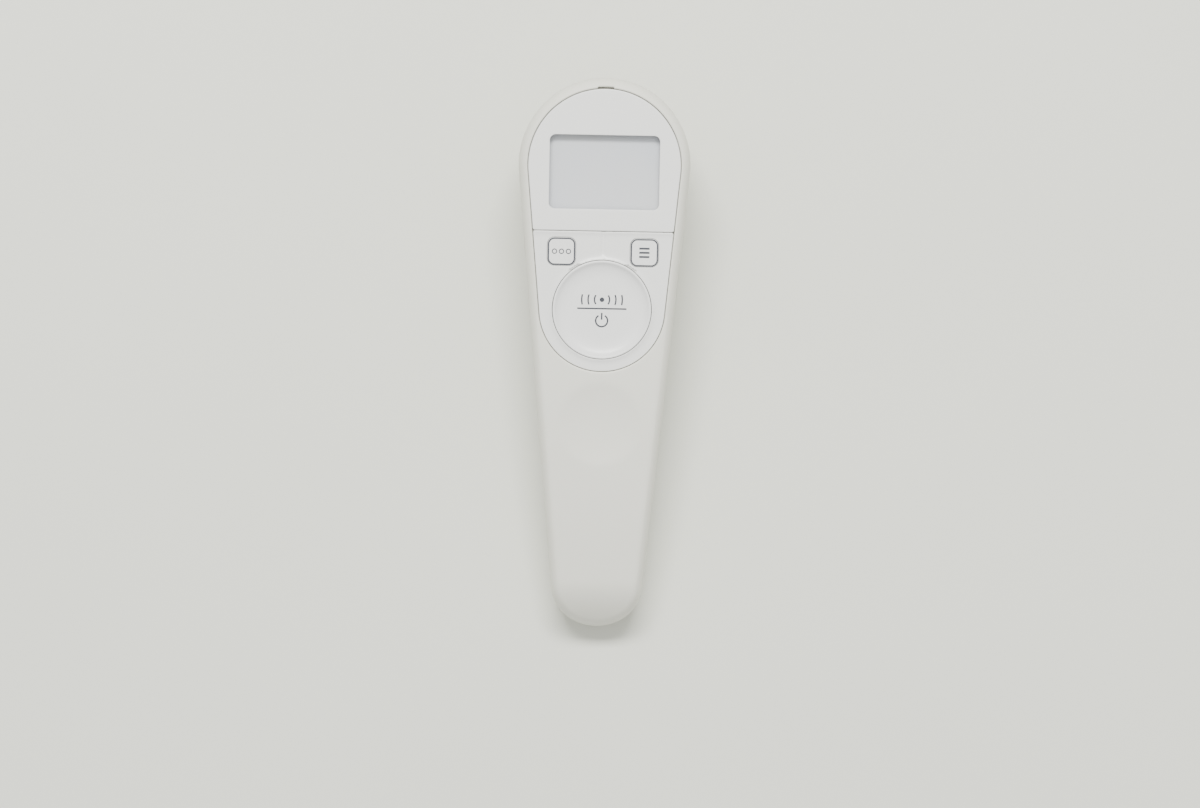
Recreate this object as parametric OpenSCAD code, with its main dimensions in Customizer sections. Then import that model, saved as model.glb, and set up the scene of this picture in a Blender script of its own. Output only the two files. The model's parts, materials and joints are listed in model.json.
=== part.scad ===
// Hand-held non-contact infrared thermometer, lying on its back with its display upwards.
// +Y runs towards the head, +Z is up. The sensor nose stands upright under the head and the
// heel of the handle rests on the same surface. The body leans by lean degrees from that surface.

/* [Body outline] */
// Overall length of the body
length = 141; // [136:1:146]
// Radius of the round head, seen from above
head_r = 21.6; // [21:0.2:22.4]
// Radius of the handle's end, seen from above
butt_r = 11.6; // [11.4:0.2:12.4]
// Height of the display panel's top above the surface, on the nose's axis
face_h = 35.4; // [34.5:0.5:37]
// Angle between the body and the surface that it lies on
lean = 6; // [5:0.5:7]

/* [Body section] */
// Thickness of the head, front to back
head_t = 22.5; // [22:0.5:24]
// How much thinner the handle gets, per millimetre of length
handle_taper = 0.0625; // [0.06:0.0005:0.065]
// Wall thickness of the casings
wall = 1.7; // [1.5:0.1:1.9]
// Width of the casing's rim round the front panels
rim_w = 2.3; // [2:0.1:2.8]
// Height of the rounded front edge
front_round_h = 4.5; // [4:0.5:5]
// Width of the rounded back edge
back_round_w = 6.5; // [5.5:0.5:7]
// Height of the rounded back edge
back_round_h = 8; // [7:0.5:8.5]

/* [Front panels] */
// Width of the display window
window_w = 27.6; // [26:0.1:29]
// Height of the display window
window_h = 18.6; // [17:0.1:19.5]
// Distance of the window's centre below the head's centre
window_down = 1.7; // [1.4:0.1:2.4]
// Distance of the step under the display below the head's centre
step_down = 16.4; // [16.2:0.1:17]
// How far the display panel stands proud of the key panel
step_h = 0.45; // [0.3:0.05:0.6]
// Distance of the start button's centre below the head's centre
start_down = 36.2; // [35.8:0.2:37]
// Radius of the start button
start_r = 12.4; // [12:0.1:12.6]
// Distance of the centre of the key panel's lower arc below the head's centre
panel_down = 36; // [35.6:0.2:37]
// Distance of the two small keys below the head's centre
key_down = 21.7; // [21.4:0.1:22.2]
// Sideways distance of each small key from the middle
key_out = 10.4; // [10:0.1:10.8]
// Side of each small square key
key_w = 7.1; // [6.6:0.1:7.4]
// Seam between the casing and each panel
seam = 0.2; // [0.15:0.05:0.3]

/* [Sensor nose] */
// Outer radius of the sensor nose
nose_r = 11.5; // [11:0.1:12]
// Radius of the reflector cone's mouth
cone_r = 8.8; // [8:0.1:9]

/* [Batteries] */
// Radius of one AAA cell
cell_r = 5.25; // [5.1:0.05:5.25]
// Length of one AAA cell, with its button
cell_len = 44.5; // [44.3:0.1:44.5]

/* [Hidden] */

body_centre = 46.93;                             // the head's centre from the middle of the length
butt_down = length - head_r - butt_r;            // from the head's centre to the butt's centre
side_a = asin((head_r - butt_r) / butt_down);    // half angle between the two straight sides
front_round_w = rim_w + 0.2;
bend = 0.00134;                                  // the handle's curve, per square millimetre
bend_from = 38.4;                                // where the curve begins below the head's centre
taper_from = 23;                                 // where the handle starts to get thinner
butt_roll = 0.035;                               // the butt's rounding in front, per square millimetre
heel_roll = 0.012;                               // and at the back
split_depth = 0.4;                               // share of the thickness above the parting line
part_gap = 0.1;                                  // gap along the parting line and the cover's seam
lap = 0.001;                                     // how far two solids of one piece run into each other

recess_z = -2.4;                                 // floor of the panels' recess
floor_z = -3.9;                                  // underside of that floor
panel_t = 1.4;                                   // thickness of the display panel
window_t = 0.8;
start_y = -start_down;
key_y = -key_down;
window_y = -window_down;
key_top = -step_h;
key_under = -2.2;                                // undersides of the key panel and of the keys' caps
key_gap = 0.1;                                   // seam round each small key
start_gap = 0.15;                                // seam round the start button
flange_top = -2.3;                               // the flange that holds each key in
flange_under = -3.1;
crest_h = 0.5;                                   // the start button's edge above the key panel
groove_w = 1;                                    // the groove up the middle of the key panel
groove_d = 0.3;
dish_r = 60;                                     // radius of the thumb hollow's curve
dish_down = 66.4;                                // its centre below the head's centre
dish_out = 13.2;                                 // its outline's radius

lcd_top = -2.6;
lcd_t = 2;
lcd_x = 15.25;                                   // half the display glass's width
lcd_y = [-14.9, 9];                              // from its lower edge to its upper edge
light_t = 2.4;
light_x = 14.1;
light_y = [-12, 8.4];
holder_x = 16.3;
holder_y = [-15.8, 10.2];
zebra_y = [-14.6, -12.8];
glass_gap = 0.1;                                 // room round the glass and the light guide
board_top = -8;
board_t = 1.6;
board_end = 46.4;                                // the board's far end below the head's centre
switch_h = 1.6;
switch_w = 4.6;
plunger_top = -5.9;
plunger_r = 1.2;
plunger_h = 0.95;

head_screws = [[-6.5, 14.2], [6.5, 14.2]];
butt_screw = [0, -108.5];
board_screw_xy = [[-14.7, -29.1], [14.7, -29.1]];
pilot_r = 1.05;                                  // hole that a housing screw cuts its thread in
clear_r = 1.3;                                   // hole that a housing screw passes through
sink_r = 2.1;                                    // counterbore for a housing screw's head
board_pilot_r = 0.75;

bay_start = 48.4;                                // the cell bay's head end below the head's centre
bay_len = 49.6;
cell_x = 5.4;
cell_z = -12.5;                                  // depth of the cells' axes at the bay's head end
cell_slope = 1.62;
trough_wall = 1.0;                               // wall round the cells
cell_gap = 0.25;                                 // room round each cell
contact_t = 0.4;                                 // thickness of the contact plates
contact_w = 7.2;
spring_h = bay_len - 2 * contact_t - cell_len;   // the springs' length with the cells in

cover_from = 44.4;                               // the cover's front edge below the head's centre
cover_seam = -15.4;                              // depth of the cover's seam at its front edge
cover_slope = 2.3;                               // slope of that seam, and of the cover's slide

board_z_row = face_h + (board_top - board_t) / cos(lean);

// Depth of the front and back surfaces at a place y along the body.
function below(y, from) = max(0, -from - y);
function front_z(y) = -bend * pow(below(y, bend_from), 2)
                      - butt_roll * pow(below(y, butt_down - 2), 2);
function back_z(y) = -bend * pow(below(y, bend_from), 2)
                     - head_t + handle_taper * below(y, taper_from)
                     + heel_roll * pow(below(y, butt_down - 2), 2);

// The right half of the plan outline, from the head's end to the butt's end, inset by d.
head_steps = 13;
side_steps = 15;
butt_steps = 7;
half_steps = head_steps + side_steps + butt_steps;
function arc_point(y, r, a) = [r * cos(a), y + r * sin(a)];
function half_point(i, d) =
    i <= head_steps
        ? arc_point(0, head_r - d, 90 - (90 + side_a) * i / head_steps)
        : i < head_steps + side_steps
            ? let (f = (i - head_steps) / side_steps)
              arc_point(0, head_r - d, -side_a) * (1 - f)
                  + arc_point(-butt_down, butt_r - d, -side_a) * f
            : arc_point(-butt_down, butt_r - d,
                        -side_a - (90 - side_a) * (i - head_steps - side_steps) / butt_steps);
function outline(d) = [for (i = [0:half_steps]) half_point(i, d),
                       for (i = [half_steps - 1:-1:1]) let (p = half_point(i, d)) [-p[0], p[1]]];

// A closed solid through a stack of levels. Each level is one closed outline of 3-D points, as
// many as outline() has, from the top level to the bottom one.
function ring_faces(k, n) = [for (j = [0:n - 1])
    [k * n + j, k * n + (j + 1) % n, (k + 1) * n + (j + 1) % n, (k + 1) * n + j]];
function cap_faces(base, n, flip) = [for (i = [0:n / 2 - 1])
    let (a = base + i, b = base + i + 1,
         c = base + (n - i - 1) % n, d = base + (n - i) % n,
         f = i == 0 ? [a, b, c] : i == n / 2 - 1 ? [a, b, d] : [a, b, c, d])
    flip ? f : [for (q = [len(f) - 1:-1:0]) f[q]]];
module stack(levels) {
    n = 2 * half_steps;
    k = len(levels);
    polyhedron(
        points = [for (level = levels) for (p = level) p],
        faces = [for (f = cap_faces(0, n, true)) f,
                 for (m = [0:k - 2]) for (f = ring_faces(m, n)) [f[3], f[2], f[1], f[0]],
                 for (f = cap_faces((k - 1) * n, n, false)) f],
        convexity = 6);
}

// The body's outer form, and the same form shrunk by w for the hollow inside.
round_steps = 5;
function room(y, w) = front_z(y) - back_z(y) - 2 * w;
function front_level(w, b) =
    [for (p = outline(w + max(0.6, front_round_w - w) * (1 - cos(b))))
        let (rh = min(front_round_h - w, 0.35 * room(p[1], w)))
        [p[0], p[1], front_z(p[1]) - w - rh * (1 - sin(b))]];
function back_level(w, b) =
    [for (p = outline(w + (back_round_w - w) * (1 - cos(b))))
        let (rh = min(back_round_h - w, 0.6 * room(p[1], w)))
        [p[0], p[1], back_z(p[1]) + w + rh * (1 - sin(b))]];
module body_form(w) {
    stack([for (i = [0:round_steps]) front_level(w, 90 - 90 * i / round_steps),
           for (i = [0:round_steps]) back_level(w, 90 * i / round_steps)]);
}

// Everything between two shares of the thickness, wider than the body all round.
function split_level(share, gap) =
    [for (p = outline(-4)) [p[0], p[1], front_z(p[1]) * (1 - share) + back_z(p[1]) * share + gap]];
function flat_level(z) = [for (p = outline(-4)) [p[0], p[1], z]];
module above_split() {
    stack([flat_level(8), split_level(split_depth, part_gap / 2)]);
}
module below_split() {
    stack([split_level(split_depth, -part_gap / 2), flat_level(-45)]);
}

// The space under the cover's seam, from the cover's front edge to past the butt.
module cover_zone(grow) {
    translate([-30, -cover_from + grow, cover_seam + grow])
        rotate([cover_slope, 0, 0])
            translate([0, -100, -40]) cube([60, 100, 40]);
}

// A flat plate with the outline of the front panels, inset by d.
module panel_plate(d, z_low, z_high) {
    ratio = (head_r - butt_r) / butt_down;
    translate([0, 0, z_low]) linear_extrude(z_high - z_low) hull() {
        circle(head_r - rim_w - d, $fn = 96);
        translate([0, -panel_down]) circle(head_r - rim_w - d - panel_down * ratio, $fn = 96);
    }
}
module block(x, y, z) {
    translate([x[0], y[0], z[0]]) cube([x[1] - x[0], y[1] - y[0], z[1] - z[0]]);
}
module rounded_plate(w, h, r, z_low, z_high) {
    translate([0, 0, z_low]) linear_extrude(z_high - z_low) union() {
        square([w - 2 * r, h], center = true);
        square([w, h - 2 * r], center = true);
        for (x = [-1, 1], y = [-1, 1])
            translate([x * (w / 2 - r), y * (h / 2 - r)]) circle(r, $fn = 32);
    }
}
module post(xy, r, z_low, z_high) {
    translate([xy[0], xy[1], z_low]) cylinder(r = r, h = z_high - z_low, $fn = 32);
}
// A post with a gusset towards the wall.
module gusset_post(xy, r, z_low, z_high, out) {
    hull() {
        post(xy, r, z_low, z_high);
        post([xy[0] + out[0], xy[1] + out[1]], r * 0.5, z_low + 1, z_high);
    }
}

// The body frame: its origin is on the display panel's top, on the nose's axis.
module leaning() {
    translate([0, body_centre, face_h]) rotate([lean, 0, 0]) children();
}
// The nose frame: its origin is on the surface, on the nose's axis.
module upright() {
    translate([0, body_centre, 0]) children();
}
// Along one cell's axis: origin at the bay's head end, +Z towards the butt.
module along_cell(side) {
    translate([side * cell_x, -bay_start, cell_z]) rotate([90 + cell_slope, 0, 0]) children();
}
module both_cells() {
    along_cell(-1) children();
    along_cell(1) children();
}

// Casings

// A space or wall round both cells, open downwards by drop.
module round_cells(r, start, end, drop) {
    hull() for (down = [0, drop])
        both_cells() translate([0, -down, start]) cylinder(r = r, h = end - start, $fn = 48);
}
module front_housing() {
    color("whitesmoke") leaning() difference() {
        union() {
            intersection() {
                difference() {
                    body_form(0);
                    body_form(wall);
                }
                above_split();
            }
            intersection() {
                panel_plate(-1, floor_z, recess_z + 0.4);
                body_form(0.5);
            }
            for (p = head_screws) gusset_post(p, 2.3, -9.4, floor_z + 0.5, [p[0] * 0.12, 2.2]);
            for (p = board_screw_xy) gusset_post(p, 1.5, board_top, floor_z + 0.5, [p[0] * 0.08, 0]);
            intersection() {
                gusset_post(butt_screw, 2.4, -12.8, -6, [0, -2]);
                body_form(0.8);
            }
        }
        panel_plate(0, recess_z, 5);
        block([-16, 16], [lcd_y[0] - 0.6, lcd_y[1] + 0.6], [floor_z - 1, 0]);
        post([0, start_y], start_r + 1.5, floor_z - 1, 0);
        for (s = [-1, 1])
            translate([s * key_out, key_y, 0]) cube([9.4, 9.4, 12], center = true);
        for (p = head_screws) post(p, pilot_r, -10, -4.4);
        for (p = board_screw_xy) post(p, board_pilot_r, -9, -4.4);
        post(butt_screw, pilot_r, -15, -8.6);
        hull() {
            translate([-2, head_r - rim_w, -1]) cylinder(r = 0.3, h = 3, $fn = 16);
            translate([2, head_r - rim_w, -1]) cylinder(r = 0.3, h = 3, $fn = 16);
        }
        round_cells(cell_r + cell_gap + trough_wall + 0.2, -1.6, bay_len + 1.6, 6);
        thumb_dish();
    }
}
// The shallow hollow for the thumb below the key panel.
module thumb_dish() {
    translate([0, -dish_down, front_z(-dish_down) - 0.95 + dish_r]) rotate([-1.2, 0, 0])
        intersection() {
            sphere(r = dish_r, $fn = 120);
            translate([0, 0, -dish_r]) cylinder(r = dish_out, h = 8, center = true, $fn = 64);
        }
}
module rear_housing() {
    color("whitesmoke") difference() {
        union() {
            leaning() difference() {
                union() {
                    difference() {
                        intersection() {
                            difference() {
                                body_form(0);
                                body_form(wall);
                            }
                            below_split();
                        }
                        cover_zone(part_gap);
                    }
                    intersection() {
                        difference() {
                            union() {
                                round_cells(cell_r + cell_gap + trough_wall, -1.2, bay_len + 1.2, 6);
                                intersection() {
                                    block([-12, 12], [-118, -bay_start - bay_len], [-15, -12.9]);
                                    below_split();
                                }
                            }
                            cover_zone(part_gap);
                        }
                        body_form(wall - 0.2);
                    }
                    intersection() {
                        for (z = [-1.2, bay_len]) translate([0, -bay_start, cell_z])
                            rotate([90 + cell_slope, 0, 0])
                                translate([-14, -5.5, z]) cube([28, 9, 1.2]);
                        body_form(wall + 0.3);
                    }
                    for (p = head_screws) gusset_post(p, 2.6, -21.4, -9.7, [p[0] * 0.12, 1.6]);
                    gusset_post(butt_screw, 2.6, -15, -14.2, [0, -1]);
                    for (s = [-1, 1]) hull() {
                        translate([s * 14.7, -45, -9.5]) cube([1, 4, 4], center = true);
                        translate([s * 15.6, -45, -11.8]) cube([1.4, 4, 2], center = true);
                    }
                    for (a = [60, 180, 300]) rotate([0, 0, a]) hull() {
                        block([13, 15], [-0.6, 0.6], [-head_t + 1, -18]);
                        block([13, 17], [-0.6, 0.6], [-head_t + 1, -head_t + 3]);
                    }
                }
                round_cells(cell_r + cell_gap, 0, bay_len, 18);
                for (p = head_screws) {
                    post(p, clear_r, -30, -9);
                    post(p, sink_r, -30, -17);
                }
                post(butt_screw, clear_r, -30, -9);
                post(butt_screw, sink_r, -30, -14.1);
            }
            upright() rotate_extrude($fn = 72)
                polygon([[nose_r - 1, 11.3], [nose_r + 0.6, 11.3], [nose_r + 2.1, 13.5],
                         [nose_r + 2.1, 17], [nose_r - 1, 17]]);
        }
        upright() cylinder(r = nose_r + 0.1, h = 20, $fn = 72);
    }
}
module battery_cover() {
    color("gainsboro") leaning() union() {
        intersection() {
            difference() {
                body_form(0);
                body_form(wall);
            }
            cover_zone(0);
        }
        hull() {
            block([-4, 4], [-46.6, -42.6], [-19.2, -18.5]);
            block([-3.4, 3.4], [-46.6, -42], [-19.1, -18.6]);
        }
        block([-4, 4], [-48.2, -46.5], [-20.6, -18.5]);
        for (i = [0:7]) let (y = -52 - 2.2 * i, x = 6.5 - 0.25 * i) hull() {
            translate([-x, y, back_z(y) + 0.3]) sphere(r = 0.8, $fn = 12);
            translate([x, y, back_z(y) + 0.3]) sphere(r = 0.8, $fn = 12);
        }
    }
}

// Front panels and keys

module display_panel() {
    color("gainsboro") leaning() difference() {
        panel_plate(seam, -panel_t, 0);
        block([-40, 40], [-80, -step_down], [-5, 5]);
        translate([0, window_y, 0]) rounded_plate(window_w, window_h, 1.5, -5, 5);
    }
}
module display_window() {
    color([0.8, 0.85, 0.9, 0.4]) leaning() translate([0, window_y, 0])
        rounded_plate(window_w + 3, window_h + 3, 2, -panel_t - window_t, -panel_t);
}
module display_gasket() {
    color("dimgray") leaning() difference() {
        translate([0, window_y, 0]) rounded_plate(30.6, 21.4, 1, lcd_top, -panel_t - window_t);
        translate([0, window_y, 0]) rounded_plate(28.8, 19.6, 1, -4, -1);
    }
}
module key_panel() {
    color("gainsboro") leaning() difference() {
        union() {
            panel_plate(seam, key_under, key_top);
            translate([0, start_y, key_top]) rotate_extrude($fn = 96)
                polygon([[start_r, -0.3], [start_r, crest_h], [start_r + 0.4, crest_h * 0.6],
                         [start_r + 1.1, crest_h * 0.15], [start_r + 1.8, 0], [start_r + 1.8, -0.3]]);
        }
        block([-40, 40], [-step_down - 0.15, 40], [-5, 5]);
        post([0, start_y], start_r + start_gap, -5, 5);
        for (s = [-1, 1]) translate([s * key_out, key_y, 0])
            rounded_plate(key_w + 2 * key_gap, key_w + 2 * key_gap, 1.8 + key_gap, -5, 5);
        block([-groove_w / 2, groove_w / 2], [start_y + start_r, -step_down],
              [key_top - groove_d, 5]);
        for (s = [-1, 1]) translate([0, start_y, key_top - groove_d]) rotate([0, 0, s * 32])
            translate([-1.7, start_r + 0.8, 0]) cube([3.4, 0.7, 3]);
    }
}
module key(side) {
    leaning() translate([side * key_out, key_y, 0]) {
        rounded_plate(key_w, key_w, 1.8, flange_top, key_top);
        rounded_plate(key_w + 0.9, key_w + 0.9, 2.2, flange_under, flange_top);
        post([0, 0], 1.6, plunger_top, flange_under);
    }
}
module mode_key() {
    color("gainsboro") key(-1);
}
module memory_key() {
    color("gainsboro") key(1);
}
module start_button() {
    crest = key_top + crest_h;
    color("gainsboro") leaning() translate([0, start_y, 0]) {
        rotate_extrude($fn = 96)
            polygon([[0, plunger_top], [3, plunger_top], [3, flange_top], [start_r, flange_top],
                     [start_r, crest - 0.3], [start_r - 0.14, crest - 0.04],
                     [start_r - 0.34, crest - 0.01], [start_r - 0.6, crest - 0.12],
                     [start_r - 1.3, crest - 0.8], [start_r - 2.2, crest - 1.12],
                     [start_r - 3.6, crest - 1.24], [0, crest - 1.3]]);
        for (a = [-20, -90, -160]) rotate([0, 0, a])
            block([start_r - 1.2, start_r + 0.7], [-2.2, 2.2], [flange_under, flange_top + lap]);
    }
}

// Display and board

module board_outline() {
    hull() {
        circle(18.2, $fn = 72);
        translate([0, -30]) square([32.8, 4], center = true);
        translate([0, -board_end + 4]) square([26, 8], center = true);
    }
}
module main_board() {
    color("seagreen") leaning() difference() {
        translate([0, 0, board_top - board_t]) linear_extrude(board_t) board_outline();
        for (p = head_screws) post(p, 2.9, -12, -6);
        for (p = board_screw_xy) post(p, 0.95, -12, -6);
        for (x = [-1.8, 1.8], y = [-1.8, 1.8])
            post([x, y + (board_top - board_t / 2) * tan(lean)], 0.45, -12, -6);
    }
}
module lcd_glass() {
    color("lightgray") leaning() block([-lcd_x, lcd_x], lcd_y, [lcd_top - lcd_t, lcd_top]);
}
module lcd_backlight() {
    color("white") leaning()
        block([-light_x, light_x], light_y, [lcd_top - lcd_t - light_t, lcd_top - lcd_t]);
}
// The same span, longer by d at both ends.
function longer(span, d) = [span[0] - d, span[1] + d];
module lcd_holder() {
    glass_pocket = lcd_x + glass_gap;
    light_pocket = light_x + glass_gap;
    color("white") leaning() difference() {
        block([-holder_x, holder_x], holder_y, [board_top, floor_z - 0.2]);
        block([-glass_pocket, glass_pocket], longer(lcd_y, glass_gap), [lcd_top - lcd_t, 0]);
        block([-light_pocket, light_pocket], longer(light_y, glass_gap),
              [lcd_top - lcd_t - light_t, 0]);
        block([-light_pocket, light_pocket], longer(zebra_y, 0.2), [-12, 0]);
    }
}
module zebra_connector() {
    color("black") leaning() block([-14, 14], zebra_y, [board_top, lcd_top - lcd_t]);
}
module controller_chip() {
    z = board_top - board_t;
    color("black") leaning() {
        block([-5, 5], [-17, -7], [z - 1.5, z - 0.1]);
        for (i = [-4:4], s = [-1, 1]) {
            block([i - 0.15, i + 0.15], [s * 5.7 - 12.45, s * 5.7 - 11.55], [z - 0.4, z]);
            block([s * 5.7 - 0.45, s * 5.7 + 0.45], [i - 12.15, i - 11.85], [z - 0.4, z]);
        }
        for (i = [-4:4], s = [-1, 1]) {
            block([i - 0.15, i + 0.15], [s * 5.1 - 12.2, s * 5.1 - 11.8], [z - 0.9, z - 0.3]);
            block([s * 5.1 - 0.2, s * 5.1 + 0.2], [i - 12.15, i - 11.85], [z - 0.9, z - 0.3]);
        }
    }
}
module board_components() {
    z = board_top - board_t;
    color("tan") leaning() {
        for (s = [-1, 1], i = [0:3])
            translate([s * (8 + 2 * i), -20.6, z - 0.3]) cube([1.4, 0.8, 0.6], center = true);
        for (i = [0:2]) block([11, 12.6], [-16 + 3 * i, -14.8 + 3 * i], [z - 0.8, z]);
        block([-13.5, -10.3], [-12, -10.4], [z - 1.2, z]);
        translate([-3.5, -24, z - 2.2]) cylinder(r = 1.6, h = 2.2, $fn = 32);
    }
}
module buzzer() {
    z = board_top - board_t;
    color("black") leaning() difference() {
        translate([0, -34, z - 3.4]) cylinder(r = 6, h = 3.4, $fn = 64);
        translate([0, -34, z - 4]) cylinder(r = 0.9, h = 1.5, $fn = 32);
    }
}
module switch_body(x, y) {
    leaning() difference() {
        block([x - switch_w / 2, x + switch_w / 2], [y - switch_w / 2, y + switch_w / 2],
              [board_top, board_top + switch_h]);
        translate([x, y, board_top + 0.6]) cylinder(r = plunger_r + 0.1, h = 5, $fn = 32);
    }
}
module switch_plunger(x, y) {
    leaning() translate([x, y, plunger_top - plunger_h])
        cylinder(r = plunger_r, h = plunger_h, $fn = 32);
}
module start_switch_body() {
    color("dimgray") switch_body(0, start_y);
}
module mode_switch_body() {
    color("dimgray") switch_body(-key_out, key_y);
}
module memory_switch_body() {
    color("dimgray") switch_body(key_out, key_y);
}
module start_switch_plunger() {
    color("black") switch_plunger(0, start_y);
}
module mode_switch_plunger() {
    color("black") switch_plunger(-key_out, key_y);
}
module memory_switch_plunger() {
    color("black") switch_plunger(key_out, key_y);
}

// Sensor nose

module nose_collar() {
    color("white") upright() rotate_extrude($fn = 96)
        polygon([[cone_r + 0.4, 0], [nose_r - 0.8, 0], [nose_r, 0.8], [nose_r, 11],
                 [nose_r - 0.15, 11], [nose_r - 0.15, 17.6], [nose_r - 1.5, 17.6],
                 [nose_r - 1.5, 2.4], [cone_r + 1.0, 2.4], [cone_r + 1.0, 1.1], [cone_r + 0.4, 1.1]]);
}
module optical_cone() {
    color("silver") upright() rotate_extrude($fn = 96)
        polygon([[cone_r, 1.2], [cone_r + 0.9, 1.2], [cone_r + 0.9, 2.3], [cone_r - 0.2, 2.6], [4.6, 8],
                 [4.6, 9.4], [3.2, 9.4], [3.2, 7.6]]);
}
module sensor_holder() {
    color("darkgray") upright() difference() {
        union() {
            translate([0, 0, 9.5]) cylinder(r = 7, h = 9, $fn = 64);
            translate([0, 0, 9.5]) cylinder(r = nose_r - 1.6, h = 1.2, $fn = 64);
        }
        translate([0, 0, 9]) cylinder(r = 4, h = 1.5, $fn = 64);
        translate([0, 0, 10.2]) cylinder(r = 4.75, h = 20, $fn = 64);
        for (s = [-1, 1]) translate([s * 8.5, 0, 8]) cylinder(r = 0.8, h = 4, $fn = 32);
    }
}
module thermopile_sensor() {
    color("goldenrod") upright() {
        translate([0, 0, 10.3]) cylinder(r = 4.1, h = 3.2, $fn = 64);
        translate([0, 0, 13.5]) cylinder(r = 4.65, h = 0.8, $fn = 64);
    }
}
module sensor_leads() {
    color("silver") upright() for (x = [-1.8, 1.8], y = [-1.8, 1.8])
        translate([x, y, 14.3]) cylinder(r = 0.23, h = board_z_row - 14.3 + 0.9, $fn = 16);
}

// Batteries

module battery_cell_left() {
    color("darkorange") leaning() along_cell(-1) translate([0, 0, contact_t]) {
        cylinder(r = 1.9, h = 1.1, $fn = 32);
        translate([0, 0, 1]) cylinder(r = cell_r, h = cell_len - 1, $fn = 64);
    }
}
module battery_cell_right() {
    color("darkorange") leaning() along_cell(1) translate([0, 0, bay_len - contact_t - cell_len]) {
        cylinder(r = cell_r, h = cell_len - 1, $fn = 64);
        translate([0, 0, cell_len - 1.1]) cylinder(r = 1.9, h = 1.1, $fn = 32);
    }
}
// A coiled contact, as a stack of rings that stand for its turns.
module contact_coil(h) {
    for (i = [0:3]) translate([0, 0, 0.15 + i * (h - 0.4) / 3])
        rotate_extrude($fn = 40) translate([2.9 - 0.35 * i, 0]) circle(0.25, $fn = 16);
    translate([-0.2, 2.45, 0.1]) cube([0.4, 0.5, h * 0.35]);
    translate([-0.2, 2.05, h * 0.3]) cube([0.4, 0.5, h * 0.35]);
    translate([-0.2, 1.7, h * 0.6]) cube([0.4, 0.5, h * 0.35]);
}
module battery_contact_plus() {
    color("silver") leaning() along_cell(-1)
        translate([-contact_w / 2, -contact_w / 2, 0]) cube([contact_w, contact_w, contact_t]);
}
module battery_contact_minus() {
    color("silver") leaning() along_cell(1) {
        translate([-contact_w / 2, -contact_w / 2, 0]) cube([contact_w, contact_w, contact_t]);
        translate([0, 0, contact_t]) contact_coil(spring_h);
    }
}
module battery_bridge_contact() {
    color("silver") leaning() {
        along_cell(-1) {
            translate([-contact_w / 2, -3, bay_len - contact_t])
                cube([2 * cell_x + contact_w, 6, contact_t]);
            translate([0, 0, bay_len - contact_t]) mirror([0, 0, 1]) contact_coil(spring_h);
        }
    }
}
// Two short wires, each down from the board and bent over to the wall of the cell bay.
module battery_wires() {
    wire_r = 0.5;
    bend_r = 1.2;
    top = board_top - board_t;
    color("crimson") leaning() for (s = [-1, 1]) translate([s * 8.2, -44.4, top - bend_r]) {
        cylinder(r = wire_r, h = bend_r, $fn = 24);
        translate([0, -bend_r, 0]) rotate([0, 90, 0]) rotate_extrude(angle = 90, $fn = 48)
            translate([bend_r, 0]) circle(wire_r, $fn = 24);
        translate([0, -bend_r, -bend_r]) rotate([90, 0, 0])
            cylinder(r = wire_r, h = 1.35, $fn = 24);
    }
}

// Fasteners

module screw(xy, head_z, head_r, r, len) {
    translate([xy[0], xy[1], head_z]) difference() {
        union() {
            cylinder(r = head_r, h = 1.2, $fn = 48);
            translate([0, 0, 1.1]) cylinder(r = r, h = len, $fn = 32);
        }
        for (a = [0, 90]) rotate([0, 0, a])
            translate([-head_r * 0.6, -0.2, -0.1]) cube([head_r * 1.2, 0.4, 0.6]);
    }
}
module housing_screws() {
    color("silver") leaning() {
        for (p = head_screws) screw(p, -18.2, 1.9, 0.95, 12);
        screw(butt_screw, -15.3, 1.9, 0.95, 5);
    }
}
module board_screws() {
    color("silver") leaning()
        for (p = board_screw_xy) screw(p, board_top - board_t - 1.2, 1.5, 0.7, 4.4);
}

front_housing();
rear_housing();
display_panel();
display_window();
display_gasket();
key_panel();
start_button();
mode_key();
memory_key();
main_board();
lcd_glass();
lcd_backlight();
lcd_holder();
zebra_connector();
controller_chip();
board_components();
buzzer();
start_switch_body();
mode_switch_body();
memory_switch_body();
start_switch_plunger();
mode_switch_plunger();
memory_switch_plunger();
nose_collar();
optical_cone();
sensor_holder();
thermopile_sensor();
sensor_leads();
battery_cell_left();
battery_cell_right();
battery_contact_plus();
battery_contact_minus();
battery_bridge_contact();
battery_wires();
battery_cover();
housing_screws();
board_screws();
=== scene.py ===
import json
import math

import bmesh
import bpy
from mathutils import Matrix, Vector
from mathutils.geometry import delaunay_2d_cdt


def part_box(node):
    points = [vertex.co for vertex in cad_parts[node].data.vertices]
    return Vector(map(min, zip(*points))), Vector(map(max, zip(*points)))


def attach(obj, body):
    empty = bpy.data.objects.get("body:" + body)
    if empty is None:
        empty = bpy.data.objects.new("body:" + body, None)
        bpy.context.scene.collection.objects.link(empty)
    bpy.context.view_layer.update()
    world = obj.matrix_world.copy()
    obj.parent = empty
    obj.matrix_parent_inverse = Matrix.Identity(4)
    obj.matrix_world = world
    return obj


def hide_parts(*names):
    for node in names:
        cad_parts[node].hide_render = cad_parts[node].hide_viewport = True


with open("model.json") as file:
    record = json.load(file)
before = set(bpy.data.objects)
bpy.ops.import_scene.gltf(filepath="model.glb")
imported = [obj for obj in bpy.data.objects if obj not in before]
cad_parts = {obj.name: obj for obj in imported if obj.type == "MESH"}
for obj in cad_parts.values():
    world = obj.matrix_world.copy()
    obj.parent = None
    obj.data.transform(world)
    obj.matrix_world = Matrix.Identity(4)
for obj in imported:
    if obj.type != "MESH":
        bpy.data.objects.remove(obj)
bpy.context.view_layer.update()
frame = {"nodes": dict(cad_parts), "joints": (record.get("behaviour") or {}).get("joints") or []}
nodes = frame["nodes"]

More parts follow.
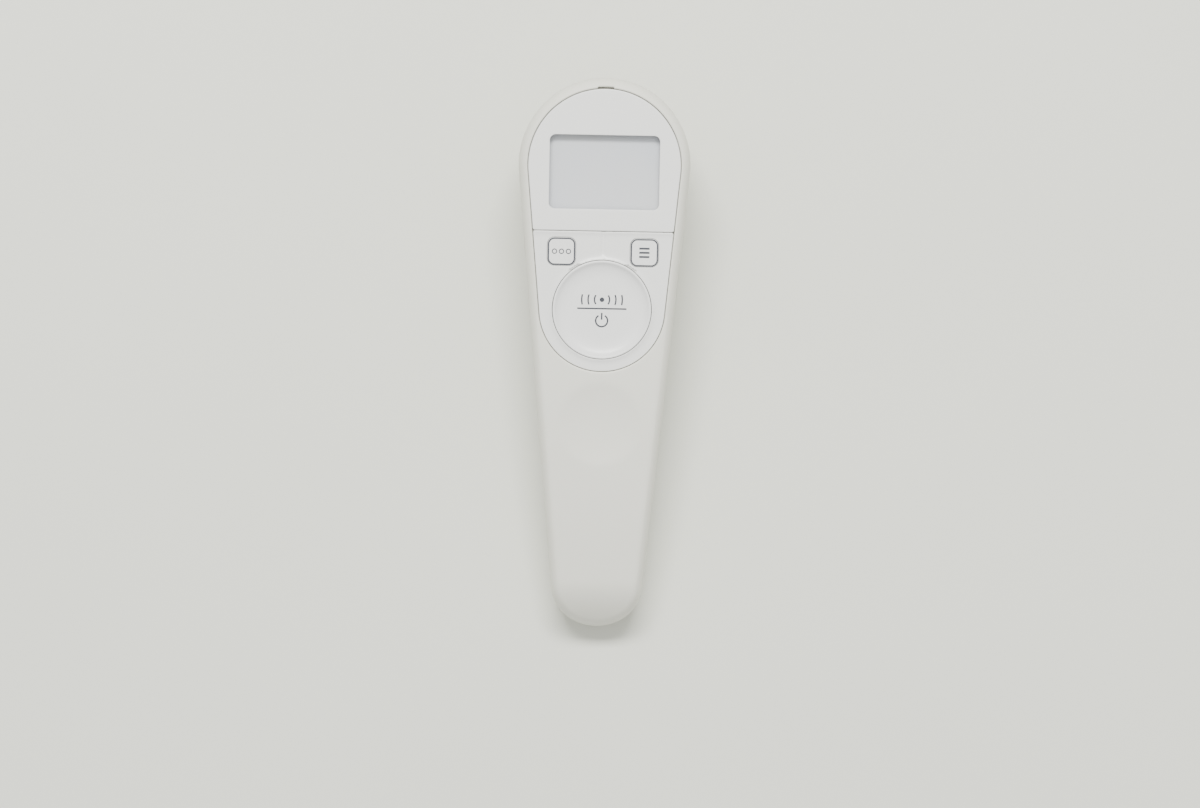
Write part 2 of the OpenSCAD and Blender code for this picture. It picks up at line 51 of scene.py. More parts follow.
# Sizes are in millimetres in two frames. The body frame leans with the body and has its origin on
# the display panel's top at the nose's axis, with +y towards the head's end. The nose frame stands
# upright. Heights such as RECESS and KEY_TOP are in the body frame.
SEAM = 0.2
SLACK = 0.02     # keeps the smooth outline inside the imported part's box
HEAD_R, BUTT_R, BUTT_DOWN = 21.6, 11.6, 107.8
RIM = 2.3
PANEL_R = HEAD_R - RIM
HEAD_T, TAPER, TAPER_FROM = 22.5, 0.0625, 23.0
BEND, BEND_FROM = 0.00134, 38.4
ROLL_FROM = BUTT_DOWN - 2
FRONT_ROLL, HEEL_ROLL = 0.035, 0.012
FRONT_W, FRONT_H, FRONT_SHARE = 2.5, 4.5, 0.35
WALL = 1.7
SPLIT = 0.4
GAP = 0.1
RECESS = -2.4
DISPLAY_UNDER, KEY_UNDER, WINDOW_UNDER = -1.4, -2.2, -2.2
FLANGE_TOP, FLANGE_UNDER, KEY_FOOT = -2.3, -3.1, -5.9
ROOF, ROOF_DROP = 2.5, 1.6    # the front shell's thickness at the handle, and what the head adds
WINDOW_W, WINDOW_H, WINDOW_Y = 27.6, 18.6, -1.7
DISPLAY_HOLE = (0, -2.95, 32, 25.1)    # centre and size of the hole in the recess
STEP_Y = -16.4
START_Y, START_R, START_GAP = -36.2, 12.4, 0.15
PANEL_END = -36.0
KEY_X, KEY_Y, KEY_W, KEY_HOLE = 10.4, -21.7, 7.1, 9.4
KEY_HOLLOW, KEY_HOLLOW_SPREAD = 0.05, 4.5
KEY_TOP = -0.45
CREST_H = 0.5    # the start button's edge and the panel round it, above the key panel
NOSE_R, CONE_R = 11.5, 8.8
CELL_R, CELL_LEN, CELL_X, CELL_Z, CELL_SLOPE = 5.25, 44.5, 5.4, -12.5, 1.62
BAY_Y, BAY_LEN, CONTACT_T = -48.4, 49.6, 0.4
DISH_Y, DISH_R, DISH_SPHERE, DISH_DEPTH, DISH_TILT, DISH_SOFT = -66.4, 13.2, 60.0, 0.95, 1.2, 0.12

nose_lo, nose_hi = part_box("nose_collar")
BODY_Y = (nose_lo.y + nose_hi.y) / 2 * 1000
START_JOINT = next(j for j in frame["joints"] if j["name"] == "start_press")
LEAN = math.asin(START_JOINT["axis"][1])
FACE_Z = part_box("display_panel")[1].z * 1000 - (PANEL_R - SEAM) * math.sin(LEAN)

SIDE = math.asin((HEAD_R - BUTT_R) / BUTT_DOWN)
NARROW = (HEAD_R - BUTT_R) / BUTT_DOWN
PANEL_END_R = PANEL_R + PANEL_END * NARROW


def leaning(p):
    x, y, z = p
    c, s = math.cos(LEAN), math.sin(LEAN)
    return Vector((x, BODY_Y + y * c - z * s, FACE_Z + y * s + z * c)) / 1000


def upright(p):
    return Vector((p[0], BODY_Y + p[1], p[2])) / 1000


def along_cell(side):
    a = math.radians(90 + CELL_SLOPE)

    def place(p):
        x, y, z = p
        return leaning((side * CELL_X + x, BAY_Y + y * math.cos(a) - z * math.sin(a),
                        CELL_Z + y * math.sin(a) + z * math.cos(a)))
    return place


# ---------------------------------------------------------------- surfaces of the body

def below(y, start):
    return max(0.0, -start - y)


def front_z(y):
    return -BEND * below(y, BEND_FROM) ** 2 - FRONT_ROLL * below(y, ROLL_FROM) ** 2


def back_z(y):
    return (-BEND * below(y, BEND_FROM) ** 2 - HEAD_T + TAPER * below(y, TAPER_FROM)
            + HEEL_ROLL * below(y, ROLL_FROM) ** 2)


def split_z(y):
    return front_z(y) * (1 - SPLIT) + back_z(y) * SPLIT


def room(y):
    """The body's thickness."""
    return front_z(y) - back_z(y)


def inset_at(x, y):
    """How far a point in the plan lies inside the body's outline."""
    x = abs(x)
    if math.atan2(y + BUTT_DOWN, x) < -SIDE:
        return BUTT_R - math.hypot(x, y + BUTT_DOWN)
    if math.atan2(y, x) > -SIDE:
        return HEAD_R - math.hypot(x, y)
    return HEAD_R - (x * math.cos(SIDE) - y * math.sin(SIDE))


def rounding(d, width, height):
    if d >= width:
        return 0.0
    u = 1 - max(d, 0.0) / width
    return height * (1 - math.sqrt(max(0.0, 1 - u * u)))


def smooth(a, b, v):
    t = min(1.0, max(0.0, (v - a) / (b - a)))
    return t * t * (3 - 2 * t)


def dish(x, y):
    """Depth of the thumb's hollow."""
    r = math.hypot(x, y - DISH_Y)
    rise = DISH_SPHERE - math.sqrt(DISH_SPHERE ** 2 - min(r, DISH_R + 3) ** 2)
    tilt = (y - DISH_Y) * math.tan(math.radians(DISH_TILT))
    depth = DISH_DEPTH - rise + tilt
    depth = 0.5 * (depth + math.sqrt(depth * depth + DISH_SOFT * DISH_SOFT)) - DISH_SOFT * 0.5
    return max(0.0, depth) * (1 - smooth(DISH_R - 0.8, DISH_R + 1.6, r))


def front_drop(y):
    """Height of the front's rounded rim, less where the body is thin."""
    return min(FRONT_H, FRONT_SHARE * room(y))


def casing_top(x, y):
    return front_z(y) - rounding(inset_at(x, y), FRONT_W, front_drop(y)) - dish(x, y)


def inner_top(x, y):
    return front_z(y) - ROOF - ROOF_DROP * smooth(-58, -52, y) - 0.25 * dish(x, y)


# ---------------------------------------------------------------- loops in the plan

# A station is a centre's y, a radius and an angle. Its point lies at the radius less an inset.
HEAD_ANGLES = [90, 88.5, 87, 85.5, 84.3, 83.8, 82, 80] + [
    80 + (-math.degrees(SIDE) - 80) * i / 38 for i in range(1, 39)]
PANEL_SHARE = -PANEL_END / BUTT_DOWN
UPPER_STEPS, LOWER_STEPS, END_STEPS = 26, 44, 30


def side_station(f):
    return (-BUTT_DOWN * f, HEAD_R + (BUTT_R - HEAD_R) * f, -SIDE)


HEAD_STATIONS = [(0.0, HEAD_R, math.radians(a)) for a in HEAD_ANGLES] + [
    side_station(PANEL_SHARE * i / UPPER_STEPS) for i in range(1, UPPER_STEPS + 1)]
LOWER_STATIONS = [
    side_station(PANEL_SHARE + (1 - PANEL_SHARE) * i / LOWER_STEPS)
    for i in range(1, LOWER_STEPS + 1)] + [
    (-BUTT_DOWN, BUTT_R, -SIDE - (math.pi / 2 - SIDE) * i / END_STEPS)
    for i in range(1, END_STEPS + 1)]
RECESS_STATIONS = [
    (PANEL_END, HEAD_R + NARROW * PANEL_END, -SIDE - (math.pi / 2 - SIDE) * i / END_STEPS)
    for i in range(1, END_STEPS + 1)]


def around(stations, d):
    """The closed loop, clockwise from the head's end, of stations on the right and mirrored."""
    d += SLACK
    half = [((r - d) * math.cos(a), cy + (r - d) * math.sin(a)) for cy, r, a in stations]
    half[0] = (0.0, half[0][1])
    half[-1] = (0.0, half[-1][1])
    return half + [(-x, y) for x, y in half[-2:0:-1]]


CASING = HEAD_STATIONS + LOWER_STATIONS
OPENING = HEAD_STATIONS + RECESS_STATIONS


def line(x0, y0, x1, y1, n=24):
    return [(x0 + (x1 - x0) * i / n, y0 + (y1 - y0) * i / n) for i in range(n + 1)]


def arc(cx, cy, r, a0, a1, n=24):
    """Points of an arc between two angles in degrees, in the plan or in a profile."""
    return [(cx + r * math.cos(math.radians(a0 + (a1 - a0) * i / n)),
             cy + r * math.sin(math.radians(a0 + (a1 - a0) * i / n))) for i in range(n + 1)]


def arcs_loop(arcs, e, line_steps=14):
    """A closed counter-clockwise loop of arcs joined by straight lines, grown by e."""
    bends = [arc(cx, cy, r + e, a0, a1, n) for cx, cy, r, a0, a1, n in arcs]
    points = []
    for bend, following in zip(bends, bends[1:] + bends[:1]):
        points += bend + line(*bend[-1], *following[0], line_steps)[1:-1]
    return points


def rounded_rect(cx, cy, w, h, r, steps=10):
    x, y = w / 2 - r, h / 2 - r
    return [(cx + x, cy + y, r, 0, 90, steps), (cx - x, cy + y, r, 90, 180, steps),
            (cx - x, cy - y, r, 180, 270, steps), (cx + x, cy - y, r, 270, 360, steps)]


def circle_loop(cx, cy, r, n):
    return [(cx + r * math.cos(2 * math.pi * i / n), cy + r * math.sin(2 * math.pi * i / n))
            for i in range(n)]


def inside_loop(loop, x, y):
    hit = False
    for i in range(len(loop)):
        (x0, y0), (x1, y1) = loop[i - 1], loop[i]
        if (y0 > y) != (y1 > y) and x < x0 + (y - y0) * (x1 - x0) / (y1 - y0):
            hit = not hit
    return hit


def fill(outer, holes=(), step=1.0, extra=(), clear=0.35):
    """Triangles inside outer and outside holes, with a grid of points between them."""
    loops = [outer, *holes]
    points, edges = [], []
    for loop in loops:
        base = len(points)
        points += [Vector(p) for p in loop]
        edges += [(base + i, base + (i + 1) % len(loop)) for i in range(len(loop))]
    rim = [tuple(p) for p in points]
    squares = {}
    for p in rim:
        squares.setdefault((int(p[0] // step), int(p[1] // step)), []).append(p)

    def near_rim(x, y, limit):
        i, j = int(x // step), int(y // step)
        return any(math.hypot(x - p[0], y - p[1]) < limit
                   for a in (-1, 0, 1) for b in (-1, 0, 1)
                   for p in squares.get((i + a, j + b), ()))

    xs, ys = [p[0] for p in outer], [p[1] for p in outer]
    nx, ny = int((max(xs) - min(xs)) / step) + 1, int((max(ys) - min(ys)) / step) + 1
    grid = [(min(xs) + (i + 0.5 * (j % 2)) * step, min(ys) + j * step)
            for j in range(ny + 1) for i in range(nx + 1)]
    for x, y in list(extra) + grid:
        if (inside_loop(outer, x, y) and not any(inside_loop(h, x, y) for h in holes)
                and not near_rim(x, y, clear * step)):
            points.append(Vector((x, y)))
    out, _, tris, _, _, _ = delaunay_2d_cdt(points, edges, [], 0, 1e-7)
    keep = []
    for t in tris:
        cx = sum(out[i][0] for i in t) / 3
        cy = sum(out[i][1] for i in t) / 3
        if inside_loop(outer, cx, cy) and not any(inside_loop(h, cx, cy) for h in holes):
            keep.append(tuple(t))
    return [(p[0], p[1]) for p in out], keep


# ---------------------------------------------------------------- building meshes

class Build:
    """Collects points and faces in millimetres, then makes one clean mesh object of them."""

    def __init__(self):
        self.points, self.faces, self.marks = [], [], []
        self.mark = 0

    def add(self, points, faces):
        base = len(self.points)
        self.points += [tuple(p) for p in points]
        self.faces += [tuple(base + i for i in f) for f in faces]
        self.marks += [self.mark] * len(faces)

    def strips(self, loops, closed=True):
        n = len(loops[0])
        last = n if closed else n - 1
        self.add([p for loop in loops for p in loop],
                 [(k * n + i, k * n + (i + 1) % n, (k + 1) * n + (i + 1) % n, (k + 1) * n + i)
                  for k in range(len(loops) - 1) for i in range(last)])

    def surface(self, filled, height):
        points, tris = filled
        used = sorted({i for t in tris for i in t})
        place = {i: k for k, i in enumerate(used)}
        self.add([(points[i][0], points[i][1], height(*points[i])) for i in used],
                 [tuple(place[i] for i in t) for t in tris])

    def lathe(self, profile, segments, centre=(0.0, 0.0)):
        """Turns a closed profile of (radius, height). Points on the axis close up."""
        loops = []
        for r, z in profile:
            loops.append([(centre[0] + r * math.cos(2 * math.pi * i / segments),
                           centre[1] + r * math.sin(2 * math.pi * i / segments), z)
                          for i in range(segments)])
        self.strips(loops)

    def box(self, x, y, z):
        p = [(a, b, c) for c in z for b in y for a in x]
        self.add(p, [(0, 2, 3, 1), (4, 5, 7, 6), (0, 1, 5, 4), (2, 6, 7, 3), (0, 4, 6, 2),
                     (1, 3, 7, 5)])

    def mesh(self, name, place, weld=0.002, sharp=38, bevel=0.0):
        bm = bmesh.new()
        for p in self.points:
            bm.verts.new(place(p))
        bm.verts.ensure_lookup_table()
        for f, mark in zip(self.faces, self.marks):
            ids = list(dict.fromkeys(f))
            if len(ids) > 2:
                try:
                    face = bm.faces.new([bm.verts[i] for i in ids])
                    face.material_index = mark
                except ValueError:
                    continue
        bmesh.ops.remove_doubles(bm, verts=bm.verts, dist=weld / 1000)
        bmesh.ops.dissolve_degenerate(bm, edges=bm.edges, dist=1e-7)
        loose = [v for v in bm.verts if not v.link_faces]
        bmesh.ops.delete(bm, geom=loose, context="VERTS")
        bmesh.ops.recalc_face_normals(bm, faces=bm.faces)
        if bevel:
            edges = [e for e in bm.edges if len(e.link_faces) == 2
                     and e.calc_face_angle(0) > math.radians(30)]
            bmesh.ops.bevel(bm, geom=edges, offset=bevel / 1000, offset_type="OFFSET",
                            segments=3, profile=0.5, affect="EDGES", clamp_overlap=True)
        data = bpy.data.meshes.new(name)
        bm.to_mesh(data)
        bm.free()
        piece = bpy.data.objects.new(name, data)
        bpy.context.scene.collection.objects.link(piece)
        shade(piece, sharp)
        return piece


def shade(piece, sharp=38):
    bm = bmesh.new()
    bm.from_mesh(piece.data)
    limit = math.radians(sharp)
    for f in bm.faces:
        f.smooth = True
    for e in bm.edges:
        e.smooth = len(e.link_faces) == 2 and e.calc_face_angle(0) < limit
    bm.to_mesh(piece.data)
    bm.free()


def curve_through(points, steps=8):
    """A smooth open curve through (radius, height) points, as many more points."""
    out = []
    for i in range(len(points) - 1):
        p0 = points[max(i - 1, 0)]
        p1, p2 = points[i], points[i + 1]
        p3 = points[min(i + 2, len(points) - 1)]
        for k in range(steps):
            t = k / steps
            out.append(tuple(
                0.5 * (2 * b + (c - a) * t + (2 * a - 5 * b + 4 * c - d) * t * t
                       + (3 * b - a - 3 * c + d) * t ** 3)
                for a, b, c, d in zip(p0, p1, p2, p3)))
    return out + [points[-1]]


# ---------------------------------------------------------------- materials

def srgb(r, g, b):
    def linear(v):
        v /= 255
        return v / 12.92 if v <= 0.04045 else ((v + 0.055) / 1.055) ** 2.4
    return (linear(r), linear(g), linear(b), 1.0)


class Nodes:
    """A material's node tree with a Principled shader and object coordinates."""

    def __init__(self, name):
        self.m = bpy.data.materials.new(name)
        self.m.use_nodes = True
        self.tree = self.m.node_tree
        self.shader = self.tree.nodes["Principled BSDF"]
        self.coords = self.tree.nodes.new("ShaderNodeTexCoord")

    def link(self, a, b):
        self.tree.links.new(a, b)

    def noise(self, scale, detail=3.0, rough=0.5, stretch=None):
        n = self.tree.nodes.new("ShaderNodeTexNoise")
        n.inputs["Scale"].default_value = scale
        n.inputs["Detail"].default_value = detail
        n.inputs["Roughness"].default_value = rough
        source = self.coords.outputs["Object"]
        if stretch:
            mapping = self.tree.nodes.new("ShaderNodeMapping")
            mapping.inputs["Scale"].default_value = stretch
            self.link(source, mapping.inputs["Vector"])
            source = mapping.outputs["Vector"]
        self.link(source, n.inputs["Vector"])
        return n.outputs["Fac"]

    def voronoi(self, scale):
        n = self.tree.nodes.new("ShaderNodeTexVoronoi")
        n.inputs["Scale"].default_value = scale
        self.link(self.coords.outputs["Object"], n.inputs["Vector"])
        return n.outputs["Distance"]

    def ramp(self, value, low, high, a, b):
        n = self.tree.nodes.new("ShaderNodeMapRange")
        n.inputs["From Min"].default_value = low
        n.inputs["From Max"].default_value = high
        n.inputs["To Min"].default_value = a
        n.inputs["To Max"].default_value = b
        self.link(value, n.inputs["Value"])
        return n.outputs["Result"]

    def mix(self, share, a, b):
        n = self.tree.nodes.new("ShaderNodeMix")
        n.data_type = "RGBA"    # the colour sockets are inputs 6 and 7 and output 2
        for socket, value in ((n.inputs[6], a), (n.inputs[7], b)):
            if isinstance(value, tuple):
                socket.default_value = value
            else:
                self.link(value, socket)
        self.link(share, n.inputs[0])
        return n.outputs[2]

    def bump(self, value, depth):
        n = self.tree.nodes.new("ShaderNodeBump")
        n.inputs["Strength"].default_value = 1.0
        n.inputs["Distance"].default_value = depth
        self.link(value, n.inputs["Height"])
        self.link(n.outputs["Normal"], self.shader.inputs["Normal"])

    def colour(self, share, a, b):
        self.link(self.mix(share, a, b), self.shader.inputs["Base Color"])

    def rough(self, marks, low, high):
        self.link(self.ramp(marks, 0.3, 0.7, low, high), self.shader.inputs["Roughness"])

    def set(self, **values):
        for key, value in values.items():
            self.shader.inputs[key.replace("_", " ")].default_value = value


def toned(colour, factor):
    return tuple(min(1.0, c * factor) for c in colour[:3]) + (1.0,)


def plastic(name, colour, shift, rough, grain, depth):
    """Moulded plastic: fine spark grain, a slow drift of tone and a little uneven gloss."""
    n = Nodes(name)
    n.colour(n.ramp(n.noise(38, 4.0, 0.55), 0.3, 0.7, 0, 1),
             toned(colour, 1 - shift), toned(colour, 1 + shift * 0.6))
    n.rough(n.noise(170, 5.0, 0.6), *rough)
    n.bump(n.noise(grain, 2.0, 0.6), depth)
    return n.m


def metal(name, colour, rough=(0.2, 0.34), stretch=None, scale=900, depth=3e-6):
    """Bare metal with fine rolling or turning marks and dull patches."""
    n = Nodes(name)
    n.colour(n.ramp(n.noise(140, 5.0, 0.6), 0.35, 0.7, 0, 1), toned(colour, 0.86), colour)
    marks = n.noise(scale, 3.0, 0.6, stretch)
    n.rough(marks, *rough)
    n.bump(marks, depth)
    n.set(Metallic=1.0)
    return n.m


CASING_WHITE = plastic("casing_plastic", srgb(227, 226, 216), 0.012, (0.40, 0.50), 2400, 5e-6)
PANEL_WHITE = plastic("panel_plastic", srgb(235, 235, 233), 0.008, (0.26, 0.33), 3200, 2e-6)
KEY_WHITE = plastic("key_plastic", srgb(235, 235, 234), 0.008, (0.30, 0.38), 3200, 2.5e-6)
NOSE_WHITE = plastic("nose_plastic", srgb(230, 230, 226), 0.01, (0.34, 0.44), 2600, 3e-6)
INNER_WHITE = plastic("inner_plastic", srgb(222, 222, 216), 0.02, (0.45, 0.6), 1600, 8e-6)
BLACK = plastic("black_plastic", srgb(38, 38, 40), 0.12, (0.38, 0.55), 2200, 6e-6)
RUBBER = plastic("elastomer", srgb(52, 50, 52), 0.12, (0.6, 0.75), 1400, 1.2e-5)
FOAM = plastic("foam", srgb(70, 70, 72), 0.2, (0.8, 0.95), 900, 4e-5)
DIFFUSER = plastic("light_guide", srgb(238, 240, 242), 0.01, (0.3, 0.42), 3000, 3e-6)
INK = plastic("printed_ink", srgb(60, 62, 70), 0.1, (0.42, 0.55), 2600, 3e-6)
STEEL = metal("screw_steel", srgb(178, 180, 182), (0.24, 0.4), None, 1500)
NICKEL = metal("contact_nickel", srgb(196, 192, 182), (0.2, 0.36), (1, 1, 6))
CONE = metal("polished_cone", srgb(214, 186, 122), (0.06, 0.14), None, 700, 1e-6)
SENSOR = metal("sensor_can", srgb(198, 186, 156), (0.18, 0.3), None, 1100)
LEADS = metal("tinned_leads", srgb(204, 202, 196), (0.2, 0.32), (1, 1, 0.2))


def board_material():
    """Green solder mask over a fine weave, with lighter streaks where the tracks run."""
    n = Nodes("board_laminate")
    tracks = n.noise(420, 1.0, 0.3, (1.0, 0.25, 1.0))
    base = n.mix(n.ramp(n.voronoi(1500), 0.1, 0.6, 0, 1), srgb(30, 84, 54), srgb(38, 98, 62))
    n.colour(n.ramp(tracks, 0.53, 0.56, 0, 1), base, srgb(52, 120, 74))
    n.rough(n.noise(500), 0.28, 0.42)
    n.bump(tracks, 1.5e-5)
    return n.m


def lcd_material():
    """The display's top polariser: pale blue-grey, with soft clouding and a fine grain."""
    n = Nodes("lcd_polariser")
    n.colour(n.ramp(n.noise(55, 3.0, 0.5), 0.32, 0.68, 0, 1), srgb(200, 203, 210),
             srgb(207, 208, 210))
    n.rough(n.noise(2400, 2.0), 0.3, 0.4)
    n.bump(n.noise(5200, 1.0), 1e-6)
    return n.m


def window_material():
    """The clear window: nearly all see-through, with a gloss and a faint haze of fine marks."""
    n = Nodes("clear_window")
    n.colour(n.noise(60, 3.0), srgb(226, 230, 236), srgb(236, 238, 240))
    n.rough(n.noise(800, 4.0), 0.05, 0.11)
    n.set(Alpha=0.07, IOR=1.49)
    return n.m


def sleeve_material(name, colour):
    """A battery cell's shrunk plastic sleeve, printed in one colour."""
    n = Nodes(name)
    n.colour(n.ramp(n.noise(90, 4.0), 0.3, 0.7, 0, 1), colour, toned(colour, 0.9))
    n.rough(n.noise(600, 3.0), 0.22, 0.34)
    n.bump(n.noise(700, 2.0), 4e-6)
    n.set(Coat_Weight=0.25)
    return n.m


BOARD = board_material()
LCD = lcd_material()
WINDOW = window_material()
SLEEVE = sleeve_material("cell_sleeve", srgb(44, 62, 92))
BAND = sleeve_material("cell_band", srgb(196, 142, 62))
RED_WIRE = plastic("wire_red", srgb(176, 40, 36), 0.08, (0.35, 0.5), 2200, 5e-6)
CERAMIC = plastic("component_ceramic", srgb(170, 138, 100), 0.18, (0.4, 0.6), 2600, 5e-6)


def finish_piece(piece, body, slot, material, *replaced):
    """Gives a piece its material or materials and its body, and hides the CAD nodes it replaces.
    The slot argument is not used.
    """
    materials = material if isinstance(material, list) else [material]
    piece.data.materials.clear()
    for m in materials:
        piece.data.materials.append(m)
    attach(piece, body)
    if replaced:
        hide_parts(*replaced)
    return piece


# ---------------------------------------------------------------- front housing

LIP = 0.16      # rounding of the edge at the seam
EDGE = 0.35     # rounding of the opening's edge
RING_D = 1.6    # inset at which the rounded rim meets the filled top
INNER_ROUND = 0.9
NOTCH_X, NOTCH_OUT = 1.95, 0.34


def opening_loop(e):
    """The opening's outline grown by e, with its small notch at the head's end."""
    out = []
    for x, y in around(OPENING, RIM - e):
        if y > 0 and abs(x) < NOTCH_X:
            r = math.hypot(x, y)
            x, y = x * (r + NOTCH_OUT) / r, y * (r + NOTCH_OUT) / r
        out.append((x, y))
    return out


def recess_holes():
    display = arcs_loop(rounded_rect(*DISPLAY_HOLE, 0.8, 4), 0, 6)
    start = circle_loop(0, START_Y, START_R + 1.5, 96)
    keys = [arcs_loop(rounded_rect(s * KEY_X, KEY_Y, KEY_HOLE, KEY_HOLE, 0.6, 4), 0, 6)
            for s in (-1, 1)]
    return [display, start, *keys]


def seam_z(y):
    """Lower edge of the front shell."""
    return split_z(y) + GAP / 2


def side_loops():
    """From the seam's rounded edge up the outer side."""
    turns = [math.pi * k / 8 for k in range(5)]
    loops = [[(x, y, seam_z(y) + LIP * (1 - math.cos(t)))
              for x, y in around(CASING, LIP * (1 - math.sin(t)))] for t in turns]
    for k in range(1, 4):
        loops.append([(x, y, (seam_z(y) + LIP) * (1 - k / 4)
                       + (front_z(y) - front_drop(y)) * k / 4) for x, y in around(CASING, 0)])
    return loops


def rim_loops():
    """Over the front's rounded rim, which is an elliptic quarter turn, up to RING_D."""
    ring_end = math.acos(1 - RING_D / FRONT_W)
    turns = [ring_end * k / 12 for k in range(13)]
    return [[(x, y, front_z(y) - front_drop(y) * (1 - math.sin(t)) - dish(x, y))
             for x, y in around(CASING, FRONT_W * (1 - math.cos(t)))] for t in turns]


def casing_face(b, ring, edge):
    """The top between the rim's last loop and the opening's edge, and the handle's top."""
    shared = len(HEAD_STATIONS)
    n, m = len(ring), len(edge)
    right = [ring[:shared], edge[:shared]]
    left = [[ring[0]] + ring[n - 1:n - shared:-1], [edge[0]] + edge[m - 1:m - shared:-1]]
    for pair in (right, left):
        b.strips(pair, closed=False)
    handle = [p[:2] for p in ring[shared - 1:n - shared + 2]]
    end = [p[:2] for p in edge[shared - 1:m - shared + 2]]
    extra = [p for d in (1.85, 2.15, 2.5) for p in around(LOWER_STATIONS, d)]
    b.surface(fill(handle + end[::-1], (), 0.8, extra), casing_top)


def recess(b, edge, holes):
    """The opening's rounded edge, its wall, its floor and the walls of the floor's holes."""
    loops = []
    for k in range(6):
        t = math.pi / 2 * k / 5
        loops.append([(x, y, p[2] - EDGE * (1 - math.cos(t)))
                      for (x, y), p in zip(opening_loop(EDGE * (1 - math.sin(t))), edge)])
    floor = opening_loop(0)
    b.strips(loops + [[(x, y, RECESS) for x, y in floor]])
    points, tris = fill(floor, holes, 3.0)
    b.surface((points, tris), lambda x, y: RECESS)
    uses = {}
    for t in tris:
        for i in range(3):
            key = tuple(sorted((t[i], t[(i + 1) % 3])))
            uses[key] = uses.get(key, 0) + 1
    rim_points = {(round(x, 4), round(y, 4)) for x, y in floor}
    for (i, j), count in uses.items():
        p, q = points[i], points[j]
        on_rim = all((round(x, 4), round(y, 4)) in rim_points for x, y in (p, q))
        if count == 1 and not on_rim:
            b.add([(*p, RECESS), (*q, RECESS), (*q, inner_top(*q)), (*p, inner_top(*p))],
                  [(0, 1, 2, 3)])


def shell_inside(b, holes, seam_edge):
    """The roof inside, its rounded corner and the inner wall down to the seam."""
    plan = around(CASING, WALL + INNER_ROUND)
    b.surface(fill(plan, holes, 3.0), inner_top)
    loops = [[(x, y, inner_top(x, y)) for x, y in plan]]
    for k in range(1, 4):
        t = math.pi / 2 * k / 3
        loops.append([(x, y, inner_top(x, y) - INNER_ROUND * math.sin(t) * min(1, room(y) / 12))
                      for x, y in around(CASING, WALL + INNER_ROUND * math.cos(t))])
    loops.append([(x, y, seam_z(y)) for x, y in around(CASING, WALL)])
    b.strips(loops + [seam_edge])


def front_housing():
    b = Build()
    side, rim = side_loops(), rim_loops()
    b.strips(side + rim)
    edge = [(x, y, casing_top(x, y)) for x, y in opening_loop(EDGE)]
    holes = recess_holes()
    casing_face(b, rim[-1], edge)
    recess(b, edge, holes)
    shell_inside(b, holes, side[0])
    return finish_piece(b.mesh("front_shell", leaning), "casing", "casing", CASING_WHITE,
                        "front_housing")


front_housing()


# ---------------------------------------------------------------- front panels

STEP_GAP, PANEL_ROUND = 0.15, 0.5
FRAME_ROLL, FRAME_ROLL_OUT = 0.07, 0.7
CREST_OUT, CREST_CURVE = 1.8, 2.2
GROOVE_DEPTH, GROOVE_HALF = 0.36, 0.42
STEP_RISE, STEP_OUT = 0.43, 2.2
SIDE_NOTCH_DEPTH, SIDE_NOTCH_TURN = 0.9, 34


def panel_corner(y, c, r):
    """Centre of a small corner arc between the panel's side and a cross edge at y."""
    cy = y + c
    return ((r - abs(c) + cy * math.sin(SIDE)) / math.cos(SIDE), cy)


def display_outline():
    r = PANEL_R - SEAM
    side = math.degrees(SIDE)
    cx, cy = panel_corner(STEP_Y, PANEL_ROUND, r)
    return [(0, 0, r, -side, 180 + side, 110), (-cx, cy, PANEL_ROUND, 180 + side, 270, 8),
            (cx, cy, PANEL_ROUND, 270, 360 - side, 8)]


def key_panel_outline():
    r = PANEL_R - SEAM
    side = math.degrees(SIDE)
    cx, cy = panel_corner(STEP_Y - STEP_GAP, -PANEL_ROUND, r)
    return [(cx, cy, PANEL_ROUND, -side, 90, 8), (-cx, cy, PANEL_ROUND, 90, 180 + side, 8),
            (0, PANEL_END, PANEL_END_R - SEAM, 180 + side, 360 - side, 90)]


def soft_plate(b, outer, holes, edges, bottom, height, step, line_steps=14):
    """A plate with a shaped top. edges gives each loop's rounding; holes' loops shrink it."""
    loops = [outer, *holes]
    turns = 5
    inner = []
    for k, (arcs, r) in enumerate(zip(loops, edges)):
        sign = -1 if k == 0 else 1
        rows = []
        for i in range(turns + 1):
            t = math.pi / 2 * i / turns
            loop = arcs_loop(arcs, sign * r * (1 - math.sin(t)), line_steps)
            top = arcs_loop(arcs, sign * r, line_steps)
            rows.append([(x, y, height(*p) - r * (1 - math.cos(t)))
                         for (x, y), p in zip(loop, top)])
        rows.append([(x, y, bottom) for x, y in arcs_loop(arcs, 0, line_steps)])
        b.strips(rows)
        inner.append(arcs_loop(arcs, sign * r, line_steps))
    b.surface(fill(inner[0], inner[1:], step), height)
    plain = [arcs_loop(a, 0, line_steps) for a in loops]
    b.surface(fill(plain[0], plain[1:], 4.0), lambda x, y: bottom)


def display_height(x, y):
    """Flat, but rolled softly down along the step under the window."""
    return -FRAME_ROLL * max(0.0, 1 - (y - STEP_Y) / FRAME_ROLL_OUT) ** 2


def display_panel():
    b = Build()
    soft_plate(b, display_outline(), [rounded_rect(0, WINDOW_Y, WINDOW_W, WINDOW_H, 1.5, 12)],
               [0.22, 0.12], DISPLAY_UNDER, display_height, 0.9)
    return finish_piece(b.mesh("display_frame", leaning), "casing", "panel", PANEL_WHITE,
                        "display_panel")


